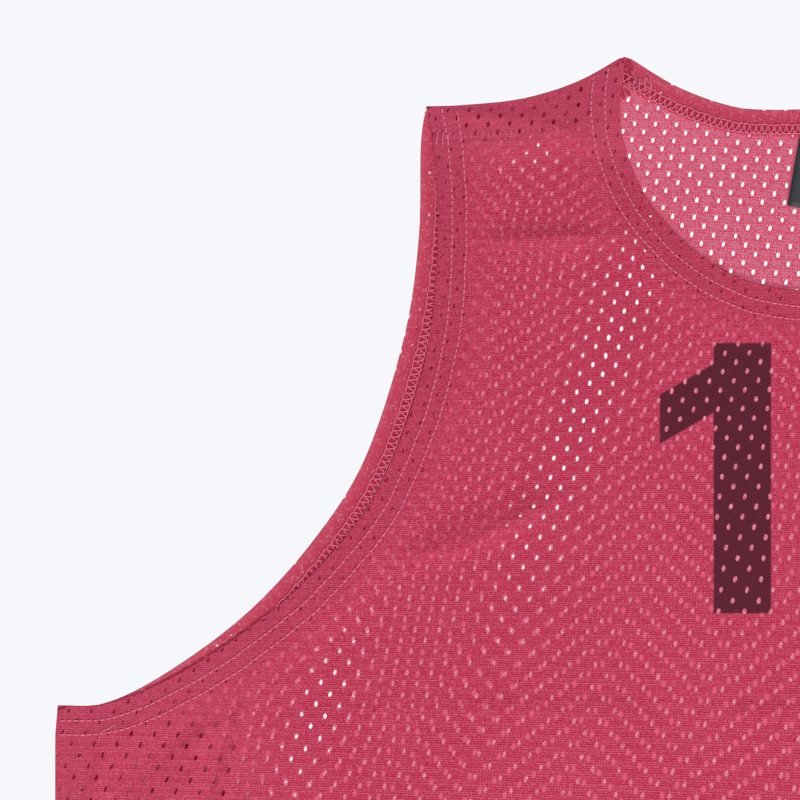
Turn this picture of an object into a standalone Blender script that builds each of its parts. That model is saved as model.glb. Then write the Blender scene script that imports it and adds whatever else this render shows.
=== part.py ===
"""Sleeveless mesh training bib, laid flat on its back with the front up.

Frame: metres, +Z up, the surface it lies on is Z = 0. The neck is towards +Y, the
bottom hem towards -Y, the centre line is X = 0, and the wearer's right is at -X.
Sizes below are millimetres. Each panel is worked out as a half, with "out" as the
distance from the centre line, and mirrored.
"""

import math

import bmesh
import bpy
import numpy as np

MM = 0.001

# Cloth
WALL = 1.0  # thickness of one layer
GAP = 0.3  # between layers, and between pieces at a seam
LAYER = WALL + GAP  # from the middle of one layer to the middle of the next
FOLD_REACH = LAYER / 2 + WALL / 2  # how far a turned edge goes past the end of the flat cloth
FOLD_STEPS = 4  # flat strips round a turned edge

# Garment
LENGTH = 720.0  # from the bottom hem to the point where neck and shoulder meet
HALF_CHEST = 306.5
BOTTOM = -LENGTH / 2
UNDERARM = 100.2  # upper end of the side seam

# Hems and seam allowances
FRONT_HEM = 13.0
BACK_HEM = 10.0
BOTTOM_HEM = 20.0
ALLOWANCE = 13.0
SEAM_CLEARANCE = 1.5  # between the end of an allowance and the turned hems

# Outlines. Columns: name, out, y
BACK_ARMHOLE = (
    ("side seam", 305.5, 100.2),
    ("underarm level", 286.6, 101.2),
    ("underarm rise", 262.7, 112.9),
    ("lower curve", 231.0, 136.2),
    ("middle curve", 204.0, 165.4),
    ("upper curve", 183.1, 198.3),
    ("chest level", 167.5, 246.0),
    ("straight start", 161.4, 286.0),
    ("straight end", 160.5, 324.0),
    ("shoulder tip", 158.4, 339.5),
)
FRONT_ARMHOLE = (
    ("side seam", 305.5, 100.2),
    ("underarm level", 286.6, 101.0),
    ("underarm rise", 262.0, 110.5),
    ("lower curve", 232.8, 128.6),
    ("middle curve", 205.7, 151.2),
    ("upper curve", 179.0, 184.4),
    ("chest level", 160.3, 232.4),
    ("straight start", 154.3, 276.0),
    ("straight end", 155.0, 318.0),
    ("shoulder tip", 158.4, 339.5),
)
BACK_NECK = (
    ("centre", 0.0, 338.6),
    ("level end", 22.0, 338.2),
    ("turn", 37.0, 339.8),
    ("slope", 58.0, 347.4),
    ("neck point", 78.8, 360.0),
)
FRONT_NECK = (
    ("centre", 0.0, 264.8),
    ("bottom curve", 28.3, 269.3),
    ("lower side", 50.0, 281.2),
    ("middle side", 68.1, 299.6),
    ("upper side", 77.6, 319.0),
    ("straight start", 81.1, 337.0),
    ("neck point", 78.8, 360.0),
)
SHOULDER = (
    ("shoulder tip", 158.4, 339.5),
    ("level end", 144.0, 340.0),
    ("middle", 120.0, 342.6),
    ("rise", 98.0, 349.4),
    ("neck point", 78.8, 360.0),
)

# Soft ridges of the front. Columns: name, start out, start y, end out, end y, half width, height
CREASES = (
    ("shoulder crease", 138.0, 286.0, 84.0, 286.0, 12.0, 1.2),
    ("armhole crease", 172.0, 158.0, 108.0, 181.0, 12.0, 1.2),
    ("underarm fold", 241.0, 108.0, 262.0, 52.0, 13.0, 1.5),
    ("side fold", 274.0, 66.0, 280.0, 10.0, 12.0, 1.2),
    ("waist crease", 250.0, -96.0, 60.0, -84.0, 20.0, 1.4),
    ("lower crease", 60.0, -232.0, 190.0, -252.0, 20.0, 1.2),
)
SLOPE = 15.0  # width of the fall from a raised edge to the plain cloth

# Label under the back neck hem, turned by its tilt
LABEL_WIDTH = 25.0
LABEL_TILT = math.radians(10.2)
LABEL_CORNER = (-14.2, 299.8)  # x and y of its lower corner on the wearer's right
LABEL_TOP = 327.6

# Net of a half panel
SIDE_ROWS = 11  # between the bottom hem and the underarm
CORNER_ROWS = (26.0, 13.0)  # distances of the last side rows below the underarm
CURVE_ROWS = 30  # along the armhole
INNER_SHARE = 0.93  # height of a row at the centre line, as a share of its height at the side
CORNER_REACH = 25.0  # over which a row's direction turns where two edges meet
ROW_BEND = 0.35  # how far a row follows its directions, as a share of its length
MOST_BEND = 90.0
FINE = 240  # points of a finely sampled curve

MESH_RED = (0.52, 0.055, 0.105, 1.0)
SEAM_RED = (0.42, 0.035, 0.075, 1.0)
LABEL_BLACK = (0.018, 0.019, 0.023, 1.0)


def clear_scene():
    for item in list(bpy.data.objects):
        bpy.data.objects.remove(item, do_unlink=True)


def cloth_material(name, colour, roughness):
    made = bpy.data.materials.new(name)
    made.use_nodes = True
    shader = made.node_tree.nodes["Principled BSDF"]
    shader.inputs["Base Color"].default_value = colour
    shader.inputs["Roughness"].default_value = roughness
    shader.inputs["Metallic"].default_value = 0.0
    return made


def unit(vectors):
    return vectors / np.maximum(np.linalg.norm(vectors, axis=-1, keepdims=True), 1e-9)


def smoothstep(value):
    value = np.clip(value, 0.0, 1.0)
    return value * value * (3.0 - 2.0 * value)


def arc_length(points):
    return float(np.linalg.norm(np.diff(points, axis=0), axis=1).sum())


def at_stations(points, stations):
    """Points at these arc lengths along a polyline."""
    steps = np.linalg.norm(np.diff(points, axis=0), axis=1)
    along = np.concatenate([[0.0], np.cumsum(steps)])
    return np.stack([np.interp(stations, along, points[:, axis]) for axis in (0, 1)], axis=-1)


def finely(points):
    return at_stations(points, np.linspace(0.0, arc_length(points), FINE))


def smooth_curve(table):
    """A Catmull-Rom curve through a table's points."""
    knots = np.array([row[1:] for row in table])
    knots = np.vstack([2 * knots[0] - knots[1], knots, 2 * knots[-1] - knots[-2]])
    t = np.linspace(0.0, 1.0, 24, endpoint=False)[:, None]
    spans = [
        b + 0.5 * t * (c - a) + t**2 * (a - 2.5 * b + 2 * c - 0.5 * d) + t**3 * (1.5 * (b - c) + 0.5 * (d - a))
        for a, b, c, d in zip(knots, knots[1:], knots[2:], knots[3:])
    ]
    return finely(np.vstack([*spans, knots[-2:-1]]))


def inward_directions(boundary, stations, turn):
    """Directions into the cloth, square to a boundary that runs from the hem up. turn is 1 or -1."""
    ahead = at_stations(boundary, stations + CORNER_REACH)
    behind = at_stations(boundary, stations - CORNER_REACH)
    tangent = unit(ahead - behind)
    return turn * np.stack([-tangent[:, 1], tangent[:, 0]], axis=-1)


def bent_row(start, start_way, end, end_way):
    """A row across the half panel, as a cubic that leaves both ends in the given directions."""
    t = np.linspace(0.0, 1.0, 60)[:, None]
    bend = min(ROW_BEND * float(np.linalg.norm(end - start)), MOST_BEND)
    return (
        (2 * t**3 - 3 * t**2 + 1) * start
        + (t**3 - 2 * t**2 + t) * bend * start_way
        + (3 * t**2 - 2 * t**3) * end
        - (t**3 - t**2) * bend * end_way
    )


def distance_to(points, curve):
    return np.sqrt(((points[..., None, :] - curve) ** 2).sum(axis=-1)).min(axis=-1)


def crease_height(points):
    total = np.zeros(points.shape[:-1])
    for _, out0, y0, out1, y1, half_width, height in CREASES:
        start = np.array([out0, y0])
        along = np.array([out1, y1]) - start
        place = np.clip(((points - start) @ along) / (along @ along), 0.0, 1.0)
        apart = np.linalg.norm(points - start - place[..., None] * along, axis=-1)
        total += height * np.sin(np.pi * place) ** 0.5 * (1.0 - smoothstep(apart / half_width))
    return total


class HalfPanel:
    """The outline of a half panel, its net of points and the height of its wall."""

    def __init__(self, armhole, neck, hem, middle_columns):
        self.hem = hem
        self.armhole = smooth_curve(armhole)
        self.neck = smooth_curve(neck)
        self.shoulder = smooth_curve(SHOULDER)
        self.side = finely(np.array([[HALF_CHEST, BOTTOM], [HALF_CHEST, UNDERARM - 12.0], self.armhole[0]]))
        self.centre = finely(np.array([[0.0, BOTTOM], self.neck[0]]))
        self.bottom = finely(np.array([[HALF_CHEST, BOTTOM], [0.0, BOTTOM]]))
        self.make_net(middle_columns)

    def stations(self):
        """Arc lengths of the rows along the outer and the inner boundary."""
        side, armhole = arc_length(self.side), arc_length(self.armhole)
        centre, neck = arc_length(self.centre), arc_length(self.neck)
        low = np.linspace(BOTTOM_HEM + SLOPE, side - CORNER_ROWS[0], SIDE_ROWS)
        low = np.concatenate([[FOLD_REACH, BOTTOM_HEM], low, [side - CORNER_ROWS[1]]])
        start = INNER_SHARE * side
        on_centre = round(CURVE_ROWS * (centre - start) / (centre - start + neck))
        on_neck = CURVE_ROWS - on_centre
        outer = [low, side + np.linspace(0.0, armhole - ALLOWANCE, CURVE_ROWS), [side + armhole]]
        inner = [
            low * np.interp(low, [BOTTOM_HEM, side], [1.0, INNER_SHARE]),
            np.linspace(start, centre, on_centre, endpoint=False),
            centre + np.linspace(0.0, neck - ALLOWANCE, on_neck),
            [centre + neck],
        ]
        self.first_armhole_row = len(low)
        self.first_neck_row = len(low) + on_centre
        return np.concatenate(outer), np.concatenate(inner)

    def make_net(self, middle_columns):
        outer_at, inner_at = self.stations()
        outer = np.vstack([self.side, self.armhole[1:]])
        inner = np.vstack([self.centre, self.neck[1:]])
        starts, ends = at_stations(outer, outer_at), at_stations(inner, inner_at)
        start_ways = inward_directions(outer, outer_at, 1.0)
        end_ways = inward_directions(inner, inner_at, -1.0)
        net = []
        for row, (start, end) in enumerate(zip(starts, ends)):
            line = bent_row(start, start_ways[row], end, end_ways[row])
            if row == len(starts) - 1:
                line = self.shoulder
            length = arc_length(line)
            near = [FOLD_REACH * (row >= self.first_armhole_row), self.hem, self.hem + SLOPE]
            far = [FOLD_REACH * (row >= self.first_neck_row), self.hem, self.hem + SLOPE]
            middle = np.linspace(near[-1], length - far[-1], middle_columns + 2)[1:-1]
            net.append(at_stations(line, np.concatenate([near, middle, length - np.array(far[::-1])])))
        self.net = np.array(net)
        self.net[: self.first_neck_row, -1, 0] = 0.0
        self.net[self.first_neck_row, -1] = self.neck[0] - (0.0, FOLD_REACH)

    def height(self, points):
        """Height of the middle of the wall: flat on the surface."""
        return np.full(points.shape[:-1], WALL / 2)

    def hem_height(self, points):
        """A hem of the back is turned up, onto the panel."""
        return self.height(points) + LAYER

    def mesh(self):
        """The middle surface: the net, and the turned hems of armhole, neck and bottom."""
        made = bmesh.new()
        x = -self.net[..., 0]
        corners = np.stack([x, self.net[..., 1], self.height(self.net)], axis=-1) * MM
        grid = [[made.verts.new(point) for point in row] for row in corners]
        join_rows(made, grid)
        rows = slice(self.first_armhole_row, None)
        ways = self.hem_directions(self.armhole, self.net[rows, 0], -1.0)
        ways[-1] = unit(self.net[-1, 1] - self.net[-1, 0])
        self.turn_hem(made, [row[0] for row in grid[rows]], self.net[rows, 0], ways, self.hem)
        rows = slice(self.first_neck_row, None)
        ways = self.hem_directions(self.neck, self.net[rows, -1], 1.0)
        ways[0] = (0.0, -1.0)
        ways[-1] = unit(self.net[-1, -2] - self.net[-1, -1])
        self.turn_hem(made, [row[-1] for row in grid[rows]], self.net[rows, -1], ways, self.hem)
        ways = np.tile([0.0, 1.0], (len(grid[0]), 1))
        self.turn_hem(made, grid[0], self.net[0], ways, BOTTOM_HEM)
        bmesh.ops.recalc_face_normals(made, faces=made.faces)
        return made

    def hem_directions(self, curve, points, turn):
        """Directions square to a curve at its points nearest to these."""
        nearest = ((points[:, None, :] - curve) ** 2).sum(axis=-1).argmin(axis=1)
        tangent = unit(curve[np.minimum(nearest + 3, FINE - 1)] - curve[np.maximum(nearest - 3, 0)])
        return turn * np.stack([tangent[:, 1], -tangent[:, 0]], axis=-1)

    def turn_hem(self, made, edge, points, ways, width):
        """The fold at an edge of the net and the strip that lies on the panel behind it."""
        start, end = self.height(points), self.hem_height(points)
        lines = [edge]
        for step in range(1, FOLD_STEPS + 1):
            angle = math.pi * step / FOLD_STEPS
            beyond = points - ways * (LAYER / 2) * math.sin(angle)
            level = (start + end) / 2 + (start - end) / 2 * math.cos(angle)
            lines.append(self.add_line(made, beyond, level))
        raw_edge = points + ways * (width - FOLD_REACH)
        lines.append(self.add_line(made, raw_edge, self.hem_height(raw_edge)))
        join_rows(made, lines)

    def add_line(self, made, points, level):
        corners = np.stack([-points[:, 0], points[:, 1], level], axis=-1) * MM
        return [made.verts.new(point) for point in corners]


class HalfFront(HalfPanel):
    """The front lies on the back, and rises over the hems and allowances."""

    def height(self, points):
        neck_rise = LAYER * (1.0 + smoothstep((points[..., 1] - 316.0) / 18.0))
        raised_edges = (
            (self.armhole, 2 * LAYER, self.hem),
            (self.neck, neck_rise, self.hem),
            (self.bottom, 2 * LAYER, BOTTOM_HEM),
            (self.side, LAYER, ALLOWANCE),
            (self.shoulder, LAYER, ALLOWANCE),
        )
        rise = np.zeros(points.shape[:-1])
        for curve, full, width in raised_edges:
            fall = 1.0 - smoothstep((distance_to(points, curve) - width - 1.0) / SLOPE)
            rise = np.maximum(rise, full * fall)
        return LAYER + WALL / 2 + np.maximum(rise, crease_height(points))

    def hem_height(self, points):
        """A hem of the front is turned under it."""
        return self.height(points) - LAYER


def join_rows(made, rows):
    """Quads between neighbouring lines of vertices."""
    for lower, upper in zip(rows, rows[1:]):
        for column in range(len(lower) - 1):
            made.faces.new((lower[column], lower[column + 1], upper[column + 1], upper[column]))


def add_object(name, mesh, collection, material):
    made = bpy.data.objects.new(name, mesh)
    collection.objects.link(made)
    made.data.materials.append(material)
    return made


def thicken(made):
    """A wall of even thickness round a middle surface."""
    solid = made.modifiers.new("Wall", "SOLIDIFY")
    solid.thickness = WALL * MM
    solid.offset = 0.0
    solid.use_even_offset = True


def add_panel(name, half, collection, material):
    net = half.mesh()
    mesh = bpy.data.meshes.new(name)
    net.to_mesh(mesh)
    net.free()
    made = add_object(name, mesh, collection, material)
    mirror = made.modifiers.new("Other half", "MIRROR")
    mirror.use_clip = True
    mirror.merge_threshold = 0.00001
    thicken(made)
    made.data.shade_smooth()


def add_shoulder_seam(name, back, side, collection, material):
    """The allowance below the shoulder edge, on the back, between the two turned hems."""
    inset = BACK_HEM + SEAM_CLEARANCE
    net = bmesh.new()
    lines = []
    for row, drop in ((-1, GAP), (-2, 0.0)):
        line = back.net[row]
        points = at_stations(line, np.linspace(inset, arc_length(line) - inset, 9))
        corners = [(side * out * MM, (y - drop) * MM, (LAYER + WALL / 2) * MM) for out, y in points]
        lines.append([net.verts.new(corner) for corner in corners])
    join_rows(net, lines)
    mesh = bpy.data.meshes.new(name)
    net.to_mesh(mesh)
    net.free()
    thicken(add_object(name, mesh, collection, material))


def add_side_seam(name, side, collection, material):
    """The allowance inside the side edge, on the back, between the two turned hems."""
    low = BOTTOM + BOTTOM_HEM + SEAM_CLEARANCE
    high = UNDERARM - BACK_HEM - SEAM_CLEARANCE
    middle_out = HALF_CHEST - GAP - ALLOWANCE / 2
    bpy.ops.mesh.primitive_cube_add(
        size=1.0, location=(side * middle_out * MM, (low + high) / 2 * MM, (LAYER + WALL / 2) * MM)
    )
    made = bpy.context.active_object
    made.name = name
    made.scale = (ALLOWANCE * MM, (high - low) * MM, WALL * MM)
    bpy.ops.object.transform_apply(location=False, rotation=False, scale=True)
    made.data.materials.append(material)
    for holder in list(made.users_collection):
        holder.objects.unlink(made)
    collection.objects.link(made)


def add_label(collection, material):
    """A flat tilted strip, cut level where it meets the raw edge of the back neck hem."""
    down = np.array([-math.sin(LABEL_TILT), -math.cos(LABEL_TILT)])
    across = np.array([math.cos(LABEL_TILT), -math.sin(LABEL_TILT)])
    lower_right = np.array(LABEL_CORNER)
    lower_left = lower_right + LABEL_WIDTH * across
    upper = [corner + down * (LABEL_TOP - corner[1]) / down[1] for corner in (lower_left, lower_right)]
    curve = bpy.data.curves.new("neck_label", "CURVE")
    curve.dimensions = "2D"
    curve.fill_mode = "BOTH"
    curve.extrude = WALL / 2 * MM
    spline = curve.splines.new("POLY")
    spline.points.add(3)
    for point, (x, y) in zip(spline.points, [lower_right, lower_left, *upper]):
        point.co = (x * MM, y * MM, 0.0, 1.0)
    spline.use_cyclic_u = True
    made = add_object("neck_label", curve, collection, material)
    made.location = (0.0, 0.0, (LAYER + WALL / 2) * MM)


def main():
    clear_scene()
    bib = bpy.data.collections.new("training_bib")
    bpy.context.scene.collection.children.link(bib)
    mesh_cloth = cloth_material("mesh cloth", MESH_RED, 0.85)
    seam_cloth = cloth_material("overlocked seam", SEAM_RED, 0.9)
    label_cloth = cloth_material("woven label", LABEL_BLACK, 0.6)

    back = HalfPanel(BACK_ARMHOLE, BACK_NECK, BACK_HEM, middle_columns=4)
    front = HalfFront(FRONT_ARMHOLE, FRONT_NECK, FRONT_HEM, middle_columns=12)
    add_panel("back_panel", back, bib, mesh_cloth)
    add_panel("front_panel", front, bib, mesh_cloth)
    for name, side in (("right", -1), ("left", 1)):
        add_shoulder_seam(f"shoulder_seam_{name}", back, side, bib, seam_cloth)
        add_side_seam(f"side_seam_{name}", side, bib, seam_cloth)
    add_label(bib, label_cloth)


main()
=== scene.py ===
import math

import bpy
import numpy as np
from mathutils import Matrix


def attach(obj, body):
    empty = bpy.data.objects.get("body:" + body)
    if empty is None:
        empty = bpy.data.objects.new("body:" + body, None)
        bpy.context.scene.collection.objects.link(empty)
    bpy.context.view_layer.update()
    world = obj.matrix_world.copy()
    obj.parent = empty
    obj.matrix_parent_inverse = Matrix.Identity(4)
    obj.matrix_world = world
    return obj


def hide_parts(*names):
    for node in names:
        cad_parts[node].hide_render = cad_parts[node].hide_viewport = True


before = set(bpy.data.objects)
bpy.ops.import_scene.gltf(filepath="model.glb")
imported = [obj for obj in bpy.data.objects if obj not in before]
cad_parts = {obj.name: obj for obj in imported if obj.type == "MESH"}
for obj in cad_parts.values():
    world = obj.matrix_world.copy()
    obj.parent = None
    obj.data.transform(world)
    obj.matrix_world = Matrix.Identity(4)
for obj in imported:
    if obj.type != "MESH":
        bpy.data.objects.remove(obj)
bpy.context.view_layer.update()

# Sizes are millimetres, in the frame of the solids: the neck is towards +Y, the front is up,
# the wearer's right is at -X. "out" is the distance from the centre line.
MM = 0.001
LAYER = 1.3  # from one layer of cloth to the next
TURN = 0.35  # radius of a turned edge
BACK_LEVEL = 1.0
FRONT_LEVEL = 1.25
SEAM_LEVEL = 1.8  # where front and back meet at the side and shoulder seams

TOP = 360.0  # where neck and shoulder meet
BOTTOM = -360.0
HALF_CHEST = 306.5
SIDE_BEND = 88.2  # from here up the side seams lean in
FRONT_HEM = 13.0
BACK_HEM = 10.0
BOTTOM_HEM = 20.0
SHOULDER_TIP = 359.2  # the seam's end is folded a little flat
ALLOWANCE = 13.0
SHOULDER_ALLOWANCE = 15.0
SLOPE = 15.0  # width of the fall from a raised edge to the plain cloth
NECK_RISE = (316.0, 18.0)  # the front neck hem rises by one more layer from this y up, over this length
SEAM_GAP = 0.12  # from the middle of a seam to each of its panels
ALLOWANCE_GAP = 0.3  # from the middle of a seam to each of its allowances
ALLOWANCE_START = 0.2  # past the seam
EDGE_STEP = 6.0  # between the points of a straight edge

# Outlines. Columns: out, y
BACK_ARMHOLE = (
    (305.5, 100.2), (286.6, 101.2), (262.7, 112.9), (231.0, 136.2), (204.0, 165.4),
    (183.1, 198.3), (167.5, 246.0), (161.4, 286.0), (160.5, 324.0), (158.4, 339.5),
)
FRONT_ARMHOLE = (
    (305.5, 100.2), (286.6, 101.0), (262.0, 110.5), (232.8, 128.6), (205.7, 151.2),
    (179.0, 184.4), (160.3, 232.4), (154.3, 276.0), (155.0, 318.0), (158.4, 339.5),
)
BACK_NECK = ((0.0, 338.6), (22.0, 338.2), (37.0, 339.8), (58.0, 347.4), (78.8, 360.0))
FRONT_NECK = (
    (0.0, 264.8), (28.3, 269.3), (50.0, 281.2), (68.1, 299.6), (77.6, 319.0), (81.1, 337.0), (78.8, 360.0),
)
SHOULDER = ((158.4, 339.5), (144.0, 340.0), (120.0, 342.6), (98.0, 349.4), (78.8, 360.0))

# Soft ridges of the front that the solids have too, on both halves.
# Columns: start out, start y, end out, end y, half width, height
MAIN_CREASES = (
    (138.0, 286.0, 84.0, 286.0, 12.0, 1.2),
    (172.0, 158.0, 108.0, 181.0, 12.0, 1.2),
    (241.0, 108.0, 262.0, 52.0, 13.0, 1.5),
    (274.0, 66.0, 280.0, 10.0, 12.0, 1.2),
    (250.0, -96.0, 60.0, -84.0, 20.0, 1.4),
    (60.0, -232.0, 190.0, -252.0, 20.0, 1.2),
)

# Smaller ridges of the front alone. Columns: start x, start y, end x, end y, half width, height
SMALL_CREASES = (
    (-138.0, 285.4, -78.0, 288.2, 3.6, 1.45),
    (-151.0, 336.5, -112.0, 333.6, 4.2, 1.1),
    (-114.0, 334.0, -91.0, 324.0, 4.0, 1.0),
    (-112.0, 326.0, -92.0, 322.0, 3.0, 0.53),
    (-171.0, 160.0, -143.0, 163.0, 3.6, 1.2),
    (-146.0, 162.0, -103.0, 184.0, 3.6, 1.35),
    (-233.0, 95.0, -262.0, 79.0, 4.2, 1.15),
    (-226.0, 114.0, -249.0, 36.0, 4.6, 1.7),
    (-205.0, 113.5, -224.0, 103.0, 3.4, 0.7),
    (-289.0, 84.0, -293.0, 34.0, 4.6, 1.35),
    (-267.0, 78.0, -260.0, 18.0, 4.2, 1.3),
    (-246.0, 60.0, -240.0, 30.0, 3.4, 0.61),
    (-190.0, 98.0, -62.0, 99.5, 3.4, 0.61),
    (-38.0, 97.0, -2.0, 98.5, 3.6, 1.2),
    (-12.0, 128.0, 46.0, 120.0, 3.4, 0.61),
    (62.0, 152.0, 121.0, 137.0, 4.2, 0.61),
    (84.0, 284.0, 131.0, 279.0, 3.4, 0.79),
    (104.0, 336.0, 127.0, 329.0, 3.1, 0.7),
    (208.0, 111.0, 240.0, 88.0, 4.2, 0.96),
    (289.0, 66.0, 293.0, 22.0, 4.9, 0.88),
    (266.0, 58.0, 259.0, 18.0, 3.4, 0.79),
    (-206.0, 18.0, -122.0, 34.0, 4.9, 0.79),
    (-92.0, -31.0, 14.0, -22.0, 4.2, 0.7),
    (108.0, 44.0, 184.0, 28.0, 4.2, 0.7),
    (-244.0, -150.0, -168.0, -165.0, 5.6, 0.96),
    (38.0, -141.0, 152.0, -127.0, 4.9, 0.79),
    (-152.0, -249.0, -58.0, -263.0, 4.2, 0.79),
    (196.0, -196.0, 262.0, -213.0, 5.6, 0.88),
    (-28.0, -303.0, 66.0, -311.0, 4.2, 0.7),
)

# The one crease of the back that the neck shows, in the same columns.
BACK_CREASES = ((-9.0, 309.0, -40.0, 279.0, 3.4, 0.6),)

# The mesh: its holes stand in rows, and the cloth is stretched a little more towards the bottom.
# Holes are counted along a row (first line) and rows down the cloth (second line) from the bottom
# of the front neck. Terms: start, then per 40 mm to the side (x), down (y), x*x, x*y, y*y
# The terms of both layers were fitted to holes found in the photograph, and then rounded.
MESH_UNIT = 40.0
MESH_START_Y = 264.0
HOLE_COUNT = (-0.172, 3.966, -5.195, -0.051, -0.056, 0.157)
ROW_COUNT = (-0.174, 0.293, 11.242, 0.0, -0.118, -0.342)
STRETCH_END_X = 0.5  # beyond these the stretch stays as it is
STRETCH_END_Y = 5.2
# The back is stretched differently: what its hole and row numbers are ahead of the front's, in
# the same six terms.
BACK_HOLES_AHEAD = (1.165, 0.549, 0.194, -0.027, -0.029, -0.007)
BACK_ROWS_AHEAD = (-1.545, -0.712, -0.343, 0.035, -0.027, -0.005)
# Places where the seams pull the back off that. Columns: x, y, radius, holes, rows
BACK_PULLS = (
    (-102.0, 312.0, 18.0, -0.17, 0.12),
    (-128.0, 298.0, 22.0, 0.32, 0.05),
    (-112.0, 280.0, 18.0, 0.22, 0.0),
    (-270.0, 62.0, 26.0, 0.32, 0.08),
    (-106.0, 341.0, 15.0, 0.45, 0.0),
    (-124.0, 330.0, 12.0, -0.40, 0.10),
    (-262.0, 92.0, 20.0, 0.50, 0.0),
)
# A first guess at the mesh, from which the places of its holes are worked out
HOLES_APART = 9.5
ROW_SHIFT = 4.2
ROWS_APART = 4.4

HOLE_SIDES = 8
HOLE_HALF_WIDTH = 0.74
HOLE_HALF_HEIGHT = 1.20
HOLE_TILT = math.radians(12.0)
HALF_PITCH = 4.6  # half of the way to the next hole, where holes have the size above
SIZE_VARIES = 0.045
TILT_VARIES = math.radians(3.0)
HEM_HOLES = (0.60, 0.80)  # holes are narrower and lower where a hem's stitches hold the cloth
HEM_HOLES_VARY = 0.15
# Slit-like holes at the underarm, where the cloth is pulled aslant: out, y and radius of the place,
# the shares added to their width and height, how much those vary, and the tilt right and left
UNDERARM_PULL = (268.0, 68.0, 27.0)
PULLED_SIZE = (-0.4, 0.2)
PULLED_VARIES = 0.5
PULLED_TILTS = (math.radians(13.0), math.radians(-39.0))
FRONT_SEED = 3  # of the small differences between holes
BACK_SEED = 4
NET_REACH = 30.0  # of the flat net past the panel's edges
NET_MARGIN = 9.0  # a net's triangles lie this near the middle of their hole
ON_A_CUT = 1e-5  # a point nearer than this to a cut lies on it

STITCH_PROUD = 0.08  # of a thread's middle above the cloth
STITCH_RADIUS = 0.33
STITCH_SHOWN = 0.66  # of its length, the rest is in the cloth
STITCH_DEPTH = 0.55
# How a row of stitches strays from its line. Columns: how far, length, shift for each mm of inset
ROW_WANDER = ((0.14, 7.0, 1.0), (0.08, 2.9, 2.0))
LOOPER_RADIUS = 0.25
FINE_RADIUS = 0.2
BOTTOM_STITCH_RADIUS = 0.22
# Twin-needle rows. Columns: edge, outer and inner row in from the front's edge, length of a stitch
HEM_ROWS = (
    ("neck", 6.2, 11.5, 2.44),
    ("armhole_right", 6.0, 11.6, 2.65),
    ("armhole_left", 6.0, 11.6, 2.65),
)
BACK_ROWS = (4.2, 8.8)  # the same two rows on the outside of the back, in from its edge
BOTTOM_ROWS = (14.0, 19.0)
BOTTOM_PITCH = 2.7
LADDER_OUTER = 6.2  # the looper's chains on the inside of the back, in from its edge
LADDER_INNER = 9.4
OVERLOCK_INSET = 2.4  # in from the allowance's raw edge
OVERLOCK_REACH = 2.7
OVERLOCK_PITCH = 2.3
OVERLOCK_HALF_HEIGHT = 0.62
OVERLOCK_LEAN = 0.2  # of a turn
OVERLOCK_RISE = 0.75  # over the hems that it crosses
TAIL_PROUD = 0.25
THREAD_TAIL = ((-282.6, 92.8), (-285.5, 91.0), (-288.1, 89.9), (-288.5, 88.4), (-289.3, 85.8))

LABEL_WIDTH = 25.0
LABEL_TILT = math.radians(10.2)
LABEL_CORNER = (-14.2, 299.8)  # its lower corner on the wearer's right
LABEL_TOP = 330.5
LABEL_LEVEL = BACK_LEVEL + 0.75
LABEL_THICKNESS = 0.35

# The photograph's frame, 800 pixels wide
PIXEL = 0.4
VIEW_WIDTH = 800 * PIXEL
VIEW_CENTRE = (-168.8, 222.2)
LENS = 135.0
SENSOR = 36.0
# The studio, in metres
KEY_LIGHT_PLACE = (0.6, -1.7, 1.55)
FLOOR_HALF = 8.0
SKY_STRENGTH = 0.54


def unit(vectors):
    return vectors / np.maximum(np.linalg.norm(vectors, axis=-1, keepdims=True), 1e-9)


def smoothstep(value):
    value = np.clip(value, 0.0, 1.0)
    return value * value * (3.0 - 2.0 * value)


# ---------------------------------------------------------------- lines on the cloth


def stations_of(line):
    """How far along a line its points lie."""
    steps = np.linalg.norm(np.diff(line, axis=0), axis=1)
    return np.concatenate([[0.0], np.cumsum(steps)])


def evenly(line, spacing):
    """Points at even distances along a line."""
    along = stations_of(line)
    count = max(2, round(along[-1] / spacing) + 1)
    at = np.linspace(0.0, along[-1], count)
    return np.stack([np.interp(at, along, line[:, axis]) for axis in range(line.shape[1])], axis=-1)


def smooth_curve(table, spacing=3.0):
    """A Catmull-Rom curve through a table's points."""
    knots = np.array(table)
    knots = np.vstack([2 * knots[0] - knots[1], knots, 2 * knots[-1] - knots[-2]])
    t = np.linspace(0.0, 1.0, 24, endpoint=False)[:, None]
    spans = []
    for a, b, c, d in zip(knots, knots[1:], knots[2:], knots[3:]):
        squared, cubed = a - 2.5 * b + 2 * c - 0.5 * d, 1.5 * (b - c) + 0.5 * (d - a)
        spans.append(b + 0.5 * t * (c - a) + t**2 * squared + t**3 * cubed)
    return evenly(np.vstack([*spans, knots[-2:-1]]), spacing)


def outward(line):
    """Directions out of the cloth at the points of a line that has the cloth on its left."""
    tangent = unit(np.gradient(line, axis=0))
    return np.stack([tangent[:, 1], -tangent[:, 0]], axis=-1)


def lengthened(line, more=30.0):
    """A line carried on straight past both ends."""
    first = line[0] + more * unit(line[0] - line[1])
    last = line[-1] + more * unit(line[-1] - line[-2])
    return np.vstack([first, line, last])


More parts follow.
